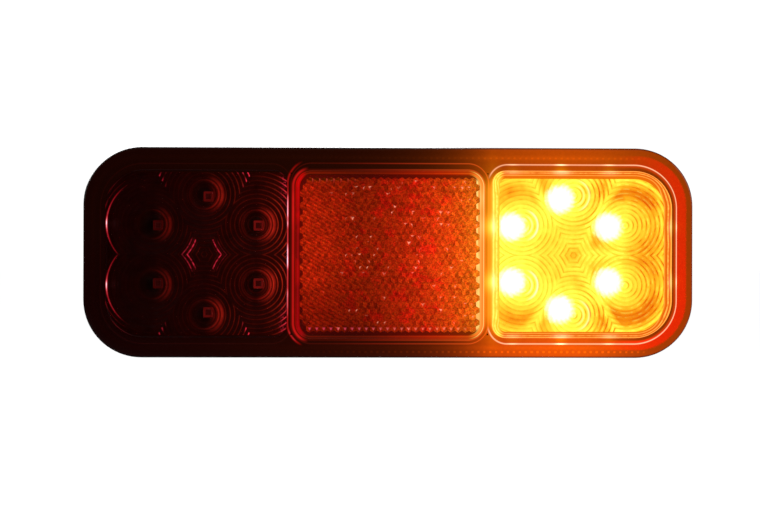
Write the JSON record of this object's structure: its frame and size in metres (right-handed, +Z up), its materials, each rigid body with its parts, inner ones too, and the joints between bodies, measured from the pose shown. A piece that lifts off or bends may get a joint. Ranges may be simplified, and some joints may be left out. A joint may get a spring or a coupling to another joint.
{
  "type": "trailer tail light",
  "caption": "Slim LED trailer tail light with a red stop and tail module, a red reflex reflector and an amber indicator module in one rounded lens, held by rear studs, with a cable tail.",
  "frame": {"origin": "centre of the rear mounting face, on the plane that seats on the vehicle's panel", "axes": "+X along the lamp's length towards the indicator module, +Y out of the rear face along the studs, +Z up; the lamp shines towards -Y"},
  "size_m": [0.206, 0.0715, 0.071],
  "materials": {
    "black_abs": "satin moulded black ABS, fine grain at the back",
    "red_acrylic": "polished transparent dark red acrylic",
    "amber_acrylic": "polished transparent amber acrylic",
    "reflex_acrylic": "polished red acrylic over cube-corner prisms",
    "black_rubber": "matt black rubber",
    "foam": "closed-cell foam, matt black",
    "board": "glass-fibre board with a green resist",
    "red_led": "LED package, unlit",
    "amber_led": "LED package, lit amber",
    "chip": "moulded black epoxy",
    "zinc": "bright zinc plate",
    "copper": "tinned copper strands; steel stands in for the copper's density",
    "sheath": "matt black PVC",
    "white_pvc": "satin PVC",
    "brown_pvc": "satin PVC",
    "red_pvc": "satin PVC",
    "yellow_pvc": "satin PVC"
  },
  "bodies": {
    "lamp": {"main_lens": "red_acrylic", "indicator_lens": "amber_acrylic", "reflector_plate": "reflex_acrylic", "reflector_back": "black_abs", "base_housing": "black_abs", "lens_seal": "black_rubber", "rear_gasket": "foam", "circuit_board": "board", "light_baffle": "black_abs", "led_stop_1": "red_led", "led_stop_2": "red_led", "led_stop_3": "red_led", "led_stop_4": "red_led", "led_stop_5": "red_led", "led_stop_6": "red_led", "led_indicator_1": "amber_led", "led_indicator_2": "amber_led", "led_indicator_3": "amber_led", "led_indicator_4": "amber_led", "led_indicator_5": "amber_led", "led_indicator_6": "amber_led", "board_screw_1": "zinc", "board_screw_2": "zinc", "board_screw_3": "zinc", "board_screw_4": "zinc", "regulator_stop": "chip", "regulator_indicator": "chip", "reverse_diode": "chip", "surge_diode": "chip", "resistor_1": "chip", "resistor_2": "chip", "resistor_3": "chip", "resistor_4": "chip", "stud_left": "zinc", "stud_right": "zinc", "cable_grommet": "black_rubber", "cable_sheath": "sheath", "core_white": "white_pvc", "bare_end_white": "copper", "board_lead_white": "white_pvc", "core_brown": "brown_pvc", "bare_end_brown": "copper", "board_lead_brown": "brown_pvc", "core_red": "red_pvc", "bare_end_red": "copper", "board_lead_red": "red_pvc", "core_yellow": "yellow_pvc", "bare_end_yellow": "copper", "board_lead_yellow": "yellow_pvc"},
    "washers_left": {"flat_washer_left": "zinc", "spring_washer_left": "zinc"},
    "nut_left": {"hex_nut_left": "zinc"},
    "washers_right": {"flat_washer_right": "zinc", "spring_washer_right": "zinc"},
    "nut_right": {"hex_nut_right": "zinc"}
  },
  "joints": [
    {"name": "nut_left_advance", "type": "slide", "parent": "lamp", "child": "washers_left", "axis": [0, 1, 0], "range_m": [0, 0.0104]},
    {"name": "nut_left_turn", "type": "hinge", "parent": "washers_left", "child": "nut_left", "pos_m": [-0.076, 0.00445, 0], "axis": [0, 1, 0], "range_deg": [0, 4680]},
    {"name": "nut_right_advance", "type": "slide", "parent": "lamp", "child": "washers_right", "axis": [0, 1, 0], "range_m": [0, 0.0104]},
    {"name": "nut_right_turn", "type": "hinge", "parent": "washers_right", "child": "nut_right", "pos_m": [0.076, 0.00445, 0], "axis": [0, 1, 0], "range_deg": [0, 4680]}
  ],
  "couplings": [
    {"joint": "nut_left_turn", "follows": "nut_left_advance", "rad_per_m": 7854},
    {"joint": "nut_right_turn", "follows": "nut_right_advance", "rad_per_m": 7854}
  ]
}
